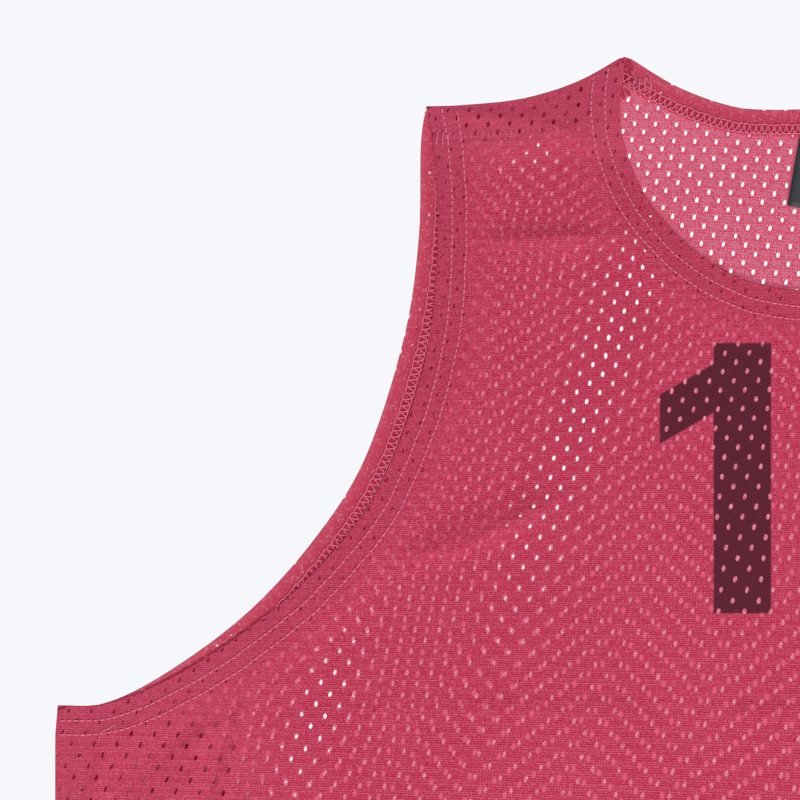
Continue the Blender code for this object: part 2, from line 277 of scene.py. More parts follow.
def foot(points, line):
    """For each point: how far it lies outside a line, the nearest place on it and the way out there."""
    start, step = line[:-1], np.diff(line, axis=0)
    normal = outward(line)
    squared = (step**2).sum(axis=1)
    apart, base, way = [], [], []
    at_once = 6000
    for part in np.array_split(points, max(1, len(points) // at_once)):
        away = part[:, None, :] - start
        t = np.clip((away * step).sum(axis=-1) / squared, 0.0, 1.0)
        gap = away - t[..., None] * step
        near = (gap**2).sum(axis=-1).argmin(axis=1)
        row = np.arange(len(part))
        t = t[row, near][:, None]
        gap = gap[row, near]
        out = unit(normal[near] * (1.0 - t) + normal[near + 1] * t)
        side = np.sign((gap * out).sum(axis=-1))
        apart.append(np.linalg.norm(gap, axis=1) * np.where(side == 0.0, 1.0, side))
        base.append(part - gap)
        way.append(out)
    return np.concatenate(apart), np.vstack(base), np.vstack(way)


# ---------------------------------------------------------------- panels


def crease_height(points, creases):
    """The height of soft ridges, given by the columns of the tables above."""
    total = np.zeros(len(points))
    for x0, y0, x1, y1, half_width, height in creases:
        start = np.array([x0, y0])
        along = np.array([x1, y1]) - start
        place = np.clip(((points - start) @ along) / (along @ along), 0.0, 1.0)
        apart = np.linalg.norm(points - start - place[:, None] * along, axis=-1)
        total += height * np.sin(np.pi * place) ** 0.5 * (1.0 - smoothstep(apart / half_width))
    return total


class Panel:
    """A whole panel: its edges, each with the cloth on its left, and the height of its cloth."""

    def __init__(self, armhole, neck):
        armhole, neck, shoulder = (
            np.minimum(smooth_curve(table), (np.inf, SHOULDER_TIP)) for table in (armhole, neck, SHOULDER)
        )
        side = evenly(np.array([[HALF_CHEST, BOTTOM], [HALF_CHEST, SIDE_BEND], armhole[0]]), EDGE_STEP)
        bottom = evenly(np.array([[-HALF_CHEST, BOTTOM], [HALF_CHEST, BOTTOM]]), EDGE_STEP)
        across = np.array([-1.0, 1.0])
        self.edges = {
            "bottom": bottom,
            "side_left": side,
            "armhole_left": armhole,
            "shoulder_left": shoulder,
            "neck": np.vstack([neck[::-1], neck[1:] * across]),
            "shoulder_right": shoulder[::-1] * across,
            "armhole_right": armhole[::-1] * across,
            "side_right": side[::-1] * across,
        }

    def distance_out(self, points):
        """How far points lie outside the panel, negative inside. Far from the edges it is rough."""

        def least(places, step):
            lines = [np.vstack([line[:-1:step], line[-1:]]) for line in self.edges.values()]
            found = np.array([foot(places, line)[0] for line in lines])
            # Where two edges are as near, as past a corner, the one that the point is outside of counts.
            nearest = (np.abs(found) - 0.01 * (found > 0.0)).argmin(axis=0)
            return found[nearest, np.arange(len(places))]

        out = least(points, 6)
        near = np.abs(out) < 12.0
        out[near] = least(points[near], 1)
        return out

    def past_neighbours(self, points, name):
        """How far points lie outside the two edges next to an edge."""
        names = list(self.edges)
        at = names.index(name)
        lines = [lengthened(self.edges[names[near % len(names)]]) for near in (at - 1, at + 1)]
        return np.maximum(*(foot(points, line)[0] for line in lines))

    def in_hem(self, points):
        """1 where points lie in a hem, 0 in the plain cloth."""
        found = np.zeros(len(points))
        for name, line in self.edges.items():
            width = self.seam_or_hem(name)
            if width:
                apart = np.abs(foot(points, line[::3])[0])
                held = (1.0 - smoothstep((apart - width) / 3.0)) * smoothstep(apart - 1.3)
                found = np.maximum(found, held)
        return found

    def line_inside(self, name, inset, clear=-0.3):
        """A line at an even distance inside an edge, from one neighbouring edge to the other."""
        line = evenly(lengthened(self.edges[name]), 1.0)
        line = line - outward(line) * inset
        return evenly(line[self.past_neighbours(line, name) < -clear], 1.0)

    def seam_or_hem(self, name):
        """Width of the hem at an edge, or 0 for a seam."""
        kind = name.split("_")[0]
        return {"bottom": BOTTOM_HEM, "neck": self.hem, "armhole": self.hem}.get(kind, 0.0)


class Back(Panel):
    """The back: flat on the floor, with its inside up. It shows in the neck and past the armholes."""

    hem = BACK_HEM
    turned = 1.0  # its hems are turned up, onto it

    def height(self, points):
        return BACK_LEVEL + crease_height(points, BACK_CREASES)

    def mesh_numbers(self, points):
        found = mesh_numbers(points, HOLE_COUNT, ROW_COUNT)
        found = found + mesh_numbers(points, BACK_HOLES_AHEAD, BACK_ROWS_AHEAD)
        for x, y, radius, holes, rows in BACK_PULLS:
            near = np.exp(-((points - (x, y)) ** 2).sum(axis=-1) / radius**2)
            found = found + near[:, None] * (holes, rows)
        return found


class Front(Panel):
    """The front: it lies on the back, and rises over the hems and allowances between the two."""

    hem = FRONT_HEM
    turned = -1.0  # its hems are turned under it

    def height(self, points):
        start, length = NECK_RISE
        neck_rise = LAYER * (1.0 + smoothstep((points[:, 1] - start) / length))
        rise = np.zeros(len(points))
        for name, line in self.edges.items():
            kind = name.split("_")[0]
            full = neck_rise if kind == "neck" else LAYER
            width = self.seam_or_hem(name) or ALLOWANCE
            apart = np.abs(foot(points, np.vstack([line[:-1:3], line[-1:]]))[0])
            rise = np.maximum(rise, full * (1.0 - smoothstep((apart - width - 1.0) / SLOPE)))
        on_half = np.stack([np.abs(points[:, 0]), points[:, 1]], axis=-1)
        raised = np.maximum(rise, crease_height(on_half, MAIN_CREASES))
        return FRONT_LEVEL + raised + crease_height(points, SMALL_CREASES)

    def mesh_numbers(self, points):
        return mesh_numbers(points, HOLE_COUNT, ROW_COUNT)


def mesh_numbers(points, *terms):
    """The hole and row numbers of places, whole numbers at the middles of holes."""
    x = points[:, 0] / MESH_UNIT
    y = (MESH_START_Y - points[:, 1]) / MESH_UNIT
    xx = np.where(x < STRETCH_END_X, x**2, STRETCH_END_X * (2 * x - STRETCH_END_X))
    yy = np.where(y < STRETCH_END_Y, y**2, STRETCH_END_Y * (2 * y - STRETCH_END_Y))
    xy = np.minimum(x, STRETCH_END_X) * np.minimum(y, STRETCH_END_Y)
    counts = [a + b * x + c * y + d * xx + e * xy + f * yy for a, b, c, d, e, f in terms]
    return np.stack(counts, axis=-1)


def mesh_places(panel, numbers):
    """The places on a panel that have these hole and row numbers, found by Newton's method."""
    hole, row = numbers.T
    places = np.stack([hole * HOLES_APART + row * ROW_SHIFT, MESH_START_Y - row * ROWS_APART], axis=-1)
    step, rounds, longest_move = 0.5, 14, 60.0
    for _ in range(rounds):
        here = panel.mesh_numbers(places)
        by_x = (panel.mesh_numbers(places + (step, 0.0)) - here) / step
        by_y = (panel.mesh_numbers(places + (0.0, step)) - here) / step
        miss = numbers - here
        turn = by_x[:, 0] * by_y[:, 1] - by_x[:, 1] * by_y[:, 0]
        right = (miss[:, 0] * by_y[:, 1] - miss[:, 1] * by_y[:, 0]) / turn
        up = (miss[:, 1] * by_x[:, 0] - miss[:, 0] * by_x[:, 1]) / turn
        places = places + np.clip(np.stack([right, up], axis=-1), -longest_move, longest_move)
    return places


def open_mesh(panel, seed):
    """The flat net of a panel, past its edges: points, triangles, and the middle of each triangle's hole."""
    box = np.array([HALF_CHEST, TOP]) + NET_REACH
    corners = np.array([[x, y] for x in (-box[0], box[0]) for y in (BOTTOM - NET_REACH, box[1])])
    ends = panel.mesh_numbers(corners)
    low, high = np.floor(ends.min(axis=0)).astype(int) - 3, np.ceil(ends.max(axis=0)).astype(int) + 3
    holes, rows = np.arange(low[0], high[0]), np.arange(low[1], high[1])
    numbers = np.stack(np.meshgrid(holes, rows, indexing="ij"), axis=-1).reshape(-1, 2).astype(float)
    middles = mesh_places(panel, numbers).reshape(len(holes), len(rows), 2)
    between = mesh_places(panel, numbers + (0.5, 0.0)).reshape(len(holes), len(rows), 2)
    index = np.arange(len(holes) * len(rows)).reshape(len(holes), len(rows))
    middle = middles[1:-1, 1:-1]
    wanted = (np.abs(middle) < box).all(axis=-1)
    # The four knots round a hole, from its right and then anticlockwise.
    knots = [index[1:-1, 1:-1], index[1:-1, :-2], index[:-2, 1:-1], index[:-2, 2:]]
    knots = np.stack([part[wanted] for part in knots], axis=-1)
    centre = middle[wanted]
    chance = np.random.default_rng(seed)
    size = 1.0 + SIZE_VARIES * chance.standard_normal((len(centre), 2))
    tilt = HOLE_TILT + TILT_VARIES * chance.standard_normal(len(centre))
    held = np.array(HEM_HOLES) * (1.0 + HEM_HOLES_VARY * chance.standard_normal((len(centre), 1)))
    size *= 1.0 - panel.in_hem(centre)[:, None] * (1.0 - held)
    out, y, radius = UNDERARM_PULL
    pulled = np.exp(-((np.abs(centre[:, 0]) - out) ** 2 + (centre[:, 1] - y) ** 2) / radius**2)
    unevenly = 1.0 + PULLED_VARIES * chance.standard_normal((len(centre), 1)).clip(-1.5, 1.4)
    size *= 1.0 + pulled[:, None] * PULLED_SIZE * unevenly
    tilt += pulled * np.where(centre[:, 0] < 0.0, *PULLED_TILTS)
    pitch = np.linalg.norm(between[1:-1, 1:-1][wanted] - centre, axis=-1)[:, None] / HALF_PITCH
    angle = np.arange(HOLE_SIDES) * (2 * math.pi / HOLE_SIDES)
    wide = HOLE_HALF_WIDTH * size[:, :1] * pitch * np.cos(angle)
    tall = HOLE_HALF_HEIGHT * size[:, 1:] * pitch * np.sin(angle)
    cosine, sine = np.cos(tilt)[:, None], np.sin(tilt)[:, None]
    rim = np.stack([wide * cosine + tall * sine, tall * cosine - wide * sine], axis=-1) + centre[:, None, :]
    points = np.vstack([between.reshape(-1, 2), rim.reshape(-1, 2)])
    ring = index.size + np.arange(len(centre) * HOLE_SIDES).reshape(-1, HOLE_SIDES)
    faces = []
    for side in range(4):
        here, ahead = knots[:, side], knots[:, (side + 1) % 4]
        first, second, third = (ring[:, (2 * side + step) % HOLE_SIDES] for step in range(3))
        faces += [(here, second, first), (here, ahead, second), (ahead, third, second)]
    faces = np.stack([np.stack(face, axis=-1) for face in faces], axis=1)
    return points, faces, centre


def used_only(points, faces):
    """Only the points that have faces, and the faces on them."""
    used, faces = np.unique(faces, return_inverse=True)
    return points[used], faces.reshape(-1, 3)


def cut_along(points, faces, value):
    """Cuts triangles where a value given at the points is 0. Every column of the points is carried over."""
    value = np.where(np.abs(value) < ON_A_CUT, ON_A_CUT, value)
    above = value[faces] > 0.0
    count = above.sum(axis=1)
    whole = faces[(count == 0) | (count == 3)]
    crossed = (count == 1) | (count == 2)
    part, above, count = faces[crossed], above[crossed], count[crossed]
    alone = np.where(count == 1, above.argmax(axis=1), (~above).argmax(axis=1))
    row = np.arange(len(part))
    a, b, c = (part[row, (alone + step) % 3] for step in range(3))
    ends = np.sort(np.concatenate([np.stack([a, b], axis=-1), np.stack([a, c], axis=-1)]), axis=1)
    ends, made = np.unique(ends, axis=0, return_inverse=True)
    made = made.reshape(-1) + len(points)
    one, two = made[: len(part)], made[len(part) :]
    share = (value[ends[:, 0]] / (value[ends[:, 0]] - value[ends[:, 1]]))[:, None]
    points = np.vstack([points, points[ends[:, 0]] * (1.0 - share) + points[ends[:, 1]] * share])
    value = np.concatenate([value, np.zeros(len(ends))])
    new = [np.stack(face, axis=-1) for face in ((a, one, two), (one, b, c), (one, c, two))]
    return points, np.vstack([whole, *new]), value


def kept_below(points, faces, value):
    """What lies where a value is under 0."""
    points, faces, value = cut_along(points, faces, value)
    return used_only(points, faces[value[faces].sum(axis=1) < 0.0])


def main_sheet(panel, net):
    """The flat part of a panel, up to where its edges start to turn, with its height."""
    points, faces, _ = net
    points, faces = used_only(points, faces.reshape(-1, 3))
    points, faces = kept_below(points, faces, panel.distance_out(points) + TURN)
    return np.column_stack([points, panel.height(points)]), points, faces


def cloth_near(net, line, low, high):
    """The part of a net whose holes lie this far outside a line, and how far its points do."""
    points, faces, centre = net
    near = foot(centre, line)[0]
    near = (near > low - NET_MARGIN) & (near < high + NET_MARGIN)
    points, faces = used_only(points, faces[near].reshape(-1, 3))
    return np.column_stack([points, foot(points, line)[0]]), faces


def turned_strip(panel, net, name, width, level=None, clear_of_ends=TURN):
    """The cloth past an edge of a panel: turned over at a hem, or bent to the middle at a seam.
    With a level, it is a seam allowance lying flat at that height."""
    line = lengthened(panel.edges[name])
    hem = level is None and width > 0.0
    raw_edge = math.pi * TURN - TURN + width if hem else width
    points, faces = cloth_near(net, line, -TURN, raw_edge)
    # The cloth is cut along lines where it bends.
    if hem:
        bends = np.array([0.25, 0.5, 0.75, 1.0]) * math.pi * TURN - TURN
    else:
        bends = [-0.25, 0.0] if level is None else [0.0]
    for bend in bends:
        points, faces, _ = cut_along(points, faces, points[:, 2] - bend)
    start = -TURN if level is None else ALLOWANCE_START
    points, faces = kept_below(points, faces, start - points[:, 2])
    points, faces = kept_below(points, faces, points[:, 2] - raw_edge)
    for last in (False, True):
        flat = points[:, :2]
        out, base, way = foot(flat, line)
        if level is not None:
            placed = base - way * out[:, None]
            height = np.full(len(flat), level)
        elif hem:
            angle = np.clip((out + TURN) / TURN, 0.0, math.pi)
            beyond = TURN * np.sin(angle) - TURN - np.maximum(out + TURN - math.pi * TURN, 0.0)
            placed = base + way * beyond[:, None]
            height = panel.height(placed) + panel.turned * TURN * (1.0 - np.cos(angle))
        else:
            placed = base + way * out[:, None]
            share = np.clip((out + TURN) / TURN, 0.0, 1.0)
            level_inside = panel.height(placed)
            fall = SEAM_LEVEL - SEAM_GAP * panel.turned - level_inside
            height = level_inside + fall * (1.0 - np.sqrt(1.0 - share**2))
        if not last:
            clear = 0.05 if hem else clear_of_ends
            points, faces = kept_below(points, faces, panel.past_neighbours(placed, name) + clear)
    return np.column_stack([placed, height]), flat, faces


def joined(parts):
    """Several parts in one, with points at the same place made one."""
    start = np.cumsum([0] + [len(part[0]) for part in parts])
    places = np.vstack([part[0] for part in parts])
    flat = np.vstack([part[1] for part in parts])
    faces = np.vstack([part[2] + offset for part, offset in zip(parts, start)])
    _, first, index = np.unique(np.round(places, 3), axis=0, return_index=True, return_inverse=True)
    faces = index.reshape(-1)[faces]
    whole = (faces[:, 0] != faces[:, 1]) & (faces[:, 1] != faces[:, 2]) & (faces[:, 0] != faces[:, 2])
    return places[first], flat[first], faces[whole]


# ---------------------------------------------------------------- objects


def add_piece(name, places, faces, material):
    """A smooth mesh from places in millimetres, on the one body."""
    mesh = bpy.data.meshes.new(name)
    mesh.from_pydata((places * MM).tolist(), [], faces.tolist())
    mesh.polygons.foreach_set("use_smooth", np.ones(len(mesh.polygons), bool))
    mesh.materials.append(material)
    mesh.update()
    piece = bpy.data.objects.new(name, mesh)
    bpy.context.scene.collection.objects.link(piece)
    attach(piece, "root")
    return piece


def note_mesh_numbers(piece, flat, panel, other):
    """Keeps, for the knit, the hole and row numbers of a piece's points in its own panel and in the
    other layer, and how far out of the two panels they are."""
    farthest = 30.0
    for name, layer in (("mesh_numbers", panel), ("other_layer", other)):
        kept = piece.data.attributes.new(name, "FLOAT_VECTOR", "POINT")
        out = np.clip(layer.distance_out(flat), -farthest, farthest)
        numbers = np.column_stack([layer.mesh_numbers(flat), out])
        kept.data.foreach_set("vector", numbers.astype(np.float32).reshape(-1))


def add_sheet(name, panel, other, net, material):
    """A panel's whole cloth: its flat part, its turned-over hems and its bent seam edges."""
    parts = [main_sheet(panel, net)]
    for edge in panel.edges:
        parts.append(turned_strip(panel, net, edge, panel.seam_or_hem(edge)))
    places, flat, faces = joined(parts)
    piece = add_piece(name, places, faces, material)
    note_mesh_numbers(piece, flat, panel, other)
    return piece


def tube(path, radius, sides):
    """Points and quads of a thread along a path."""
    tangent = unit(np.gradient(path, axis=0))
    across = unit(np.cross((0.0, 0.0, 1.0), tangent))
    up = np.cross(tangent, across)
    angle = np.arange(sides) * (2 * math.pi / sides)
    rings = path[:, None, :] + radius * (
        np.cos(angle)[None, :, None] * across[:, None, :] + np.sin(angle)[None, :, None] * up[:, None, :]
    )
    index = np.arange(len(path) * sides).reshape(len(path), sides)
    ahead = np.roll(index, -1, axis=1)
    faces = np.stack([index[:-1], ahead[:-1], ahead[1:], index[1:]], axis=-1).reshape(-1, 4)
    return rings.reshape(-1, 3), faces


def add_threads(name, paths, radius, material, sides=5):
    """One piece from the threads along several paths."""
    places, faces, start = [], [], 0
    for path in paths:
        points, quads = tube(path, radius, sides)
        places.append(points)
        faces.append(quads + start)
        start += len(points)
    return add_piece(name, np.vstack(places), np.vstack(faces), material)


def needle_line(panel, name, inset, pitch, per_stitch=8, below=False):
    """A row of stitches: the thread lies on the cloth, and goes through it between stitches."""
    line = panel.line_inside(name, inset)
    along = stations_of(line)
    wander = sum(far * np.sin(along / length + shift * inset) for far, length, shift in ROW_WANDER)
    line = line + outward(line) * wander[:, None]
    along = stations_of(line)
    count = int(along[-1] / pitch)
    at = (np.arange(count * per_stitch + 1) / per_stitch) * pitch + (along[-1] - count * pitch) / 2
    places = np.stack([np.interp(at, along, line[:, axis]) for axis in (0, 1)], axis=-1)
    phase = (np.arange(len(at)) % per_stitch) / per_stitch
    shown = np.abs(phase - 0.5) < STITCH_SHOWN / 2
    over = np.where(shown, STITCH_PROUD, STITCH_PROUD - STITCH_DEPTH)
    return np.column_stack([places, panel.height(places) + (-over if below else over)])


def ladder_lines(panel, name, pitch, per_stitch=12):
    """The looper thread over a hem on the inside: a zigzag, and the chains that hold its two sides."""
    base = panel.line_inside(name, LADDER_INNER, 1.5)
    way = outward(base)
    along = stations_of(base)
    count = int((along[-1] - 3.0) / pitch)
    start = (along[-1] - count * pitch) / 2
    turn = np.arange(count * per_stitch + 1) / per_stitch
    uneven = 0.09 * np.sin(turn * 2.3) + 0.06 * np.sin(turn * 5.1 + 1.0)
    uneven_width = 1.0 + 0.05 * np.sin(turn * 1.9)

    def placed(rise, lift, forward=0.0):
        """Places with a rise of 0 at the inner and 1 at the outer chain, lifted off the hem."""
        at = start + pitch * (turn + forward) + uneven
        x, y = (np.interp(at, along, base[:, axis]) for axis in (0, 1))
        way_x, way_y = (np.interp(at, along, way[:, axis]) for axis in (0, 1))
        rise = rise * (LADDER_INNER - LADDER_OUTER) * uneven_width
        spot = np.stack([x + way_x * rise, y + way_y * rise], axis=-1)
        return np.column_stack([spot, panel.height(spot) + 2 * TURN + lift])

    sine, cosine = np.sin(2 * math.pi * turn), np.cos(2 * math.pi * turn)
    straight = 1.0 - np.abs(2.0 * (turn % 1.0) - 1.0)
    swing = 0.6 * straight + 0.4 * (1.0 - cosine) / 2
    zigzag = placed(swing, 0.30 - 0.08 * sine, 0.10 * sine)
    outer = placed(1.0 + 0.07 * np.abs(np.cos(math.pi * turn)), 0.24 + 0.06 * sine)
    inner = placed(-0.10 * np.abs(np.sin(math.pi * turn)), 0.26 + 0.06 * cosine)
    return [zigzag, outer, inner]


def overlock_line(panel, name, width, per_stitch=10):
    """The thread wound round the raw edges of a seam's two allowances."""
    clear = 3.0 if name.startswith("shoulder") else BACK_HEM
    line = panel.line_inside(name, width - OVERLOCK_INSET, clear)
    way, along = outward(line), stations_of(line)
    turn = np.arange(int(along[-1] / OVERLOCK_PITCH) * per_stitch + 1) / per_stitch
    sine, cosine = np.sin(2 * math.pi * turn), np.cos(2 * math.pi * turn)
    at = OVERLOCK_PITCH * (turn + OVERLOCK_LEAN * sine)
    x, y = (np.interp(at, along, line[:, axis]) for axis in (0, 1))
    way_x, way_y = (np.interp(at, along, way[:, axis]) for axis in (0, 1))
    across = OVERLOCK_REACH * cosine
    spot = np.column_stack([x + way_x * across, y + way_y * across])
    over_hem = smoothstep((panel.past_neighbours(spot, name) + BACK_HEM + 2.0) / 3.0)
    return np.column_stack([spot, SEAM_LEVEL + OVERLOCK_RISE * over_hem + OVERLOCK_HALF_HEIGHT * sine])


def add_label(material):
    """A woven label, held under the back neck hem, with its foot a little raised."""
    rows, columns = 15, 11
    down, across = np.meshgrid(np.linspace(0.0, 1.0, rows), np.linspace(0.0, 1.0, columns), indexing="ij")
    length = LABEL_TOP - LABEL_CORNER[1]
    x, y = across * LABEL_WIDTH, (1.0 - down) * length / math.cos(LABEL_TILT)
    cosine, sine = math.cos(LABEL_TILT), math.sin(LABEL_TILT)
    placed_x = LABEL_CORNER[0] + x * cosine + y * sine
    placed_y = LABEL_CORNER[1] + y * cosine - x * sine
    ripple = 0.10 * np.sin(across * 7.0 + 1.0)
    raised_foot = 0.22 * down**3 * (1.0 + np.cos(across * 5.0))
    top = np.dstack([placed_x, placed_y, LABEL_LEVEL + (ripple + raised_foot)])
    index = np.arange(rows * columns).reshape(rows, columns)
    quads = np.stack([index[:-1, :-1], index[1:, :-1], index[1:, 1:], index[:-1, 1:]], axis=-1).reshape(-1, 4)
    piece = add_piece("neck_label_cloth", top.reshape(-1, 3), quads, material)
    wall = piece.modifiers.new("thickness", "SOLIDIFY")
    wall.thickness = LABEL_THICKNESS * MM
    wall.offset = 0.0
    return piece


# ---------------------------------------------------------------- materials


class Value:
    """A number or colour on a shader's way: wraps a socket, so sums on it add their nodes."""

    def __init__(self, tree, socket):
        self.tree, self.socket = tree, socket

    def math(self, operation, *inputs):
        return self.node("ShaderNodeMath", {"operation": operation}, dict(enumerate(inputs)))

    def node(self, kind, settings=None, inputs=None, output=0):
        return add_node(self.tree, kind, settings, inputs, output)

    def __add__(self, other): return self.math("ADD", self, other)
    def __radd__(self, other): return self.math("ADD", other, self)
    def __sub__(self, other): return self.math("SUBTRACT", self, other)
    def __rsub__(self, other): return self.math("SUBTRACT", other, self)
    def __mul__(self, other): return self.math("MULTIPLY", self, other)
    def __rmul__(self, other): return self.math("MULTIPLY", other, self)
    def __truediv__(self, other): return self.math("DIVIDE", self, other)
    def __pow__(self, other): return self.math("POWER", self, other)

    def abs(self): return self.math("ABSOLUTE", self)
    def sin(self): return self.math("SINE", self)
    def cos(self): return self.math("COSINE", self)
    def sqrt(self): return self.math("SQRT", self)
    def whole(self): return self.math("ROUND", self)
    def fraction(self): return self.math("FRACT", self)
    def least(self, other): return self.math("MINIMUM", self, other)
    def most(self, other): return self.math("MAXIMUM", self, other)

    def ramp(self, low, high, start=0.0, end=1.0):
        """Eases from start to end as the value goes from low to high."""
        settings = {"interpolation_type": "SMOOTHSTEP"}
        return self.node("ShaderNodeMapRange", settings, {0: self, 1: low, 2: high, 3: start, 4: end})

    def parts(self):
        """The x, y and z of a vector."""
        first = self.node("ShaderNodeSeparateXYZ", None, {0: self})
        return [Value(self.tree, socket) for socket in first.socket.node.outputs]


def add_node(tree, kind, settings=None, inputs=None, output=0):
    """Adds a node: first its settings, then the values or links of its sockets."""
    made = tree.nodes.new(kind)
    for name, value in (settings or {}).items():
        setattr(made, name, value)
    for name, value in (inputs or {}).items():
        if isinstance(value, Value):
            tree.links.new(value.socket, made.inputs[name])
        else:
            made.inputs[name].default_value = value
    return Value(tree, made.outputs[output]) if len(made.outputs) else None


def mixed(share, first, second):
    """A colour between two others."""
    inputs = {0: share, 6: first, 7: second}  # the Mix node's sockets for a colour
    return add_node(share.tree, "ShaderNodeMix", {"data_type": "RGBA"}, inputs, 2)


def noise(place, scale, detail=1.0, roughness=0.5):
    inputs = {"Vector": place, "Scale": scale, "Detail": detail, "Roughness": roughness}
    return place.node("ShaderNodeTexNoise", None, inputs)


def bump(height, strength, distance):
    inputs = {"Strength": strength, "Distance": distance, "Height": height}
    return height.node("ShaderNodeBump", None, inputs)


def new_material(name):
    made = bpy.data.materials.new(name)
    made.use_nodes = True
    made.node_tree.nodes.clear()
    return made, made.node_tree


def finish_material(tree, inputs, through=None):
    """A Principled shader. In cloth, part of the light comes through from behind."""
    shader = add_node(tree, "ShaderNodeBsdfPrincipled", None, inputs)
    if through is not None:
        behind = {"Color": CLOTH_THROUGH, "Normal": inputs["Normal"]}
        light = add_node(tree, "ShaderNodeBsdfTranslucent", None, behind)
        shader = add_node(tree, "ShaderNodeMixShader", None, {0: through, 1: shader, 2: light})
    add_node(tree, "ShaderNodeOutputMaterial", None, {"Surface": shader})


def position(tree):
    """A place on the piece, and its x, y and z in millimetres."""
    place = add_node(tree, "ShaderNodeTexCoord", None, None, "Object")
    return place, [part * (1.0 / MM) for part in place.parts()]


CLOTH_RED = (0.53, 0.035, 0.094, 1.0)
CLOTH_DEEP = (0.33, 0.011, 0.040, 1.0)
# Painted shade
CLOTH_SHADE = (0.36, 0.014, 0.046, 1.0)
CLOTH_LIGHT = (0.74, 0.115, 0.205, 1.0)
# Painted light through the sheer bars of a single layer
CLOTH_SHEER_LIT = (0.58, 0.28, 0.40, 1.0)
# Painted light in small gaps of the knit
CLOTH_GAP_LIGHT = (0.95, 0.60, 0.68, 1.0)
# Painted shade round the rims of holes
CLOTH_RIM_SHADE = (0.52, 0.026, 0.080, 1.0)
# Painted light and glints
CLOTH_CAUGHT_LIGHT = (0.86, 0.50, 0.58, 1.0)
CLOTH_LIT = (0.78, 0.130, 0.230, 1.0)
CLOTH_THROUGH = (0.84, 0.13, 0.22, 1.0)
PRINT_INK = (0.098, 0.013, 0.027, 1.0)
THREAD_PINK = (0.93, 0.200, 0.325, 1.0)
LABEL_BLACK = (0.020, 0.021, 0.024, 1.0)
FLOOR_PALE = (0.92, 0.93, 0.965, 1.0)

# The knit: the grain of its yarns, the wales from hole to hole and the ribs from row to row, and
# about how holes and rows stand, for what is placed round a hole
YARN_SCALE = 2500.0
WALES = 9
RIBS = 5
KNIT_HOLES_APART = 9.3
KNIT_ROW_SHIFT = 4.1
KNIT_ROWS_APART = 4.2
ROW_LEAN = 0.44  # a row's shift as a share of the way between holes
DOTS_APART = 1.05
# Ovals on each half of the bib. Columns: out, y, half width, half height
UNDERARM_SHADE = (268.0, 66.0, 46.0, 36.0)  # painted shade between the two layers
NECK_POCKET_SHADE = (78.6, 353.5, 3.2, 6.5)  # painted shade under the corner of the neck


def squad_number(x, y):
    """1 inside the digits of a plain number ten, 0 outside. Its parts are distances past their edges."""
    middle_y, half_height = 191.0, 54.0
    one_x, one_half_width = -32.0, 11.5
    flag_x, flag_y, flag_half_width = -52.0, 222.0, 8.5
    flag_middle, flag_half_length = -48.0, 17.0
    across_x, across_y = 0.5, -0.866  # square to the flag, which rises at 30 degrees
    zero_x, straight_half_width, straight_half_height = 30.0, 12.0, 30.0
    corner_radius, zero_half_stroke = 14.0, 10.5
    tall = (y - middle_y).abs()
    stem = ((x - one_x).abs() - one_half_width).most(tall - half_height)
    flag = ((x - flag_x) * across_x + (y - flag_y) * across_y).abs() - flag_half_width
    flag = flag.most((x - flag_middle).abs() - flag_half_length)
    across = ((x - zero_x).abs() - straight_half_width).most(0.0)
    down = (tall - straight_half_height).most(0.0)
    zero = ((across * across + down * down).sqrt() - corner_radius).abs() - zero_half_stroke
    return stem.least(flag).least(zero).ramp(0.35, -0.35)


class Layer:
    """Where a place lies in the mesh of one layer of cloth, from the numbers kept on the piece."""

    def __init__(self, tree, kept):
        numbers = add_node(tree, "ShaderNodeAttribute", {"attribute_name": kept}, None, "Vector")
        self.along, self.down, self.past_edge = numbers.parts()
        self.hole = (self.along + 0.5).fraction() - 0.5
        self.row = (self.down + 0.5).fraction() - 0.5
        right = self.hole * KNIT_HOLES_APART + self.row * KNIT_ROW_SHIFT
        up = self.row * -KNIT_ROWS_APART
        # 0 in the middle of the nearest hole and about 1 on its rim
        self.from_hole = ((right / 0.85) ** 2.0 + ((up - right * 0.2) / 1.3) ** 2.0).sqrt()


